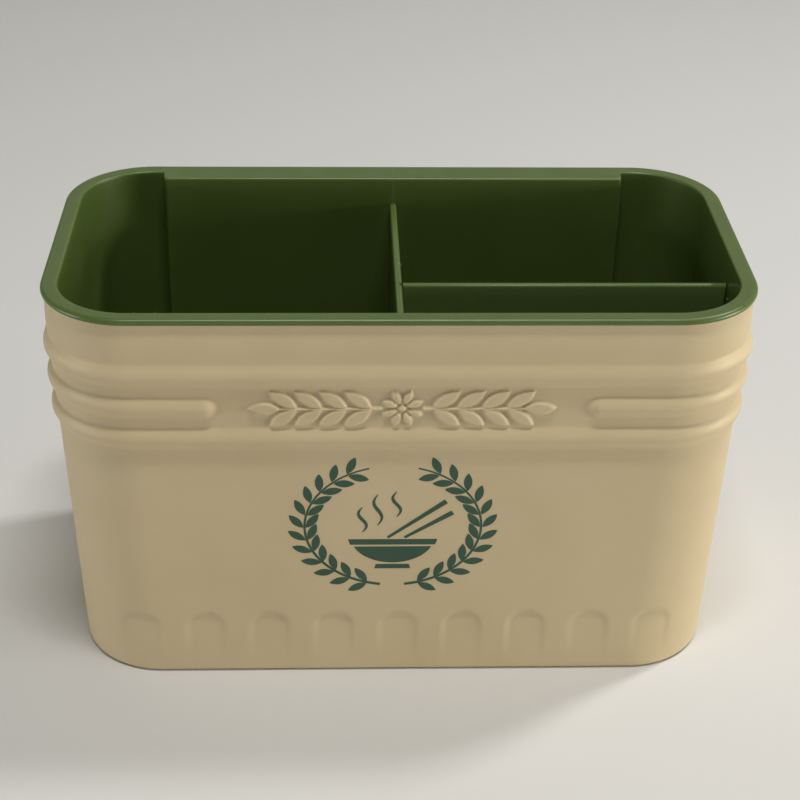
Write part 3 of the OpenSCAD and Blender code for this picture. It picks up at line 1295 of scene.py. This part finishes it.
@dataclass
class Studio:
    """Pale round sweep, soft lights and the camera, in metres and degrees."""

    flat_rings: tuple[float, ...] = (0.05, 0.3, 1.0)
    flat_radius: float = 2.6
    curve_radius: float = 0.9
    wall_height: float = 1.6
    surroundings: float = 0.01
    camera_place: Triple = (-0.01851, -0.49029, 0.35385)
    camera_turn: Triple = (59.7966, -0.9007, -1.8111)
    lens: float = 81.05
    sensor: float = 36.0
    view_range: Pair = (0.05, 20)

    def sweep(self) -> None:
        """Turn the floor and its curved wall round the middle."""
        body, curve = Body(), self.curve_radius
        turns = np.linspace(0, math.tau, 96, endpoint=False)
        profile = [(radius, 0.0) for radius in self.flat_rings]
        for turn in np.linspace(0, math.pi / 2, 13):
            profile.append((self.flat_radius + curve * math.sin(turn), curve * (1 - math.cos(turn))))
        profile.append((self.flat_radius + curve, curve + self.wall_height))
        rings = []
        for radius, z in profile:
            ring = [radius * np.cos(turns), -radius * np.sin(turns), np.full(len(turns), z)]
            rings.append(np.column_stack(ring) / MM)
        body.cap(body.loft(rings)[0][::-1])
        floor = linked("studio_sweep", body.mesh("studio_sweep", PaleSweep().material()))

    def light(self) -> None:
        """Hang the lights and set the dim surroundings."""
        for lamp in LAMPS:
            lamp.hang()
        world = bpy.data.worlds.new("surroundings")
        world.use_nodes = True
        colour = (self.surroundings,) * 3 + (1,)
        world.node_tree.nodes["Background"].inputs["Color"].default_value = colour
        bpy.context.scene.world = world

    def camera(self) -> None:
        """Set the camera where the photograph was taken from."""
        data = bpy.data.cameras.new("camera")
        data.lens, data.sensor_width = self.lens, self.sensor
        data.clip_start, data.clip_end = self.view_range
        made = linked("camera", data)
        made.location = self.camera_place
        made.rotation_euler = Euler([math.radians(a) for a in self.camera_turn], "XYZ")
        bpy.context.scene.camera = made

    def build(self) -> None:
        """Set up the whole studio."""
        self.sweep()
        self.light()
        self.camera()
        bpy.context.scene.view_settings.view_transform = "Standard"
        LOG.info("studio: sweep, %d lights and the camera", len(LAMPS))


def main_plate(taper: Taper, liner: InnerLiner) -> Divider:
    """Work out the main divider, which runs from the front wall to the back panel."""
    low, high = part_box("main_divider")
    foot = liner.floor + liner.groove_foot
    shoulder = high.z / MM - Divider.top_round
    clear = liner.inside + CLEARANCE
    half = [taper.rim_depth / 2 - taper.lean(z) for z in (foot, shoulder)]
    return Divider(
        name="main_plate",
        carrier=Carrier.MAIN,
        node="main_divider",
        middle=liner.main_x,
        front=(-half[0] + clear, -half[1] + clear),
        back=(half[0] - clear - liner.panel_in, half[1] - clear - liner.panel_in),
        floor=low.z / MM,
        shoulder=shoulder,
        cut=(liner.groove_foot, liner.groove_foot),
        notches=(liner.cross_y,),
        nub=-0.7,
        thickness=(high.x - low.x) / MM,
    )


def cross_plate(taper: Taper, liner: InnerLiner, main: Divider) -> Divider:
    """Work out the cross divider, which runs from the main divider to the right wall."""
    low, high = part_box("cross_divider")
    foot = liner.floor + liner.groove_foot
    shoulder = high.z / MM - main.top_round
    start = main.middle + main.thickness / 2 + CLEARANCE
    clear = liner.inside + CLEARANCE
    half = [taper.rim_width / 2 - taper.lean(z) - clear for z in (foot, shoulder)]
    return Divider(
        name="cross_plate",
        carrier=Carrier.CROSS,
        node="cross_divider",
        middle=liner.cross_y,
        front=(start, start),
        back=(half[0], half[1]),
        floor=low.z / MM,
        shoulder=shoulder,
        cut=(0.0, liner.groove_foot),
        thickness=main.thickness,
        tongue_out=(main.notch_depth, main.tongue_out[1]),
        turned=True,
    )


def main() -> None:
    """Build the caddy and the studio."""
    logging.basicConfig(level=logging.INFO, format="%(name)s: %(message)s")
    taper = Taper.from_frame()
    green = LEAF_GREEN.material()
    OuterShell(taper).dress()
    FrontPrint(taper).dress()
    main_box, cross_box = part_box("main_divider"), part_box("cross_divider")
    main_x = (main_box[0].x + main_box[1].x) / 2 / MM
    liner = InnerLiner(taper, main_x, (cross_box[0].y + cross_box[1].y) / 2 / MM)
    liner.dress(green)
    main_divider = main_plate(taper, liner)
    main_divider.dress(green)
    cross_plate(taper, liner, main_divider).dress(green)
    Studio().build()


if __name__ == "__main__":
    main()
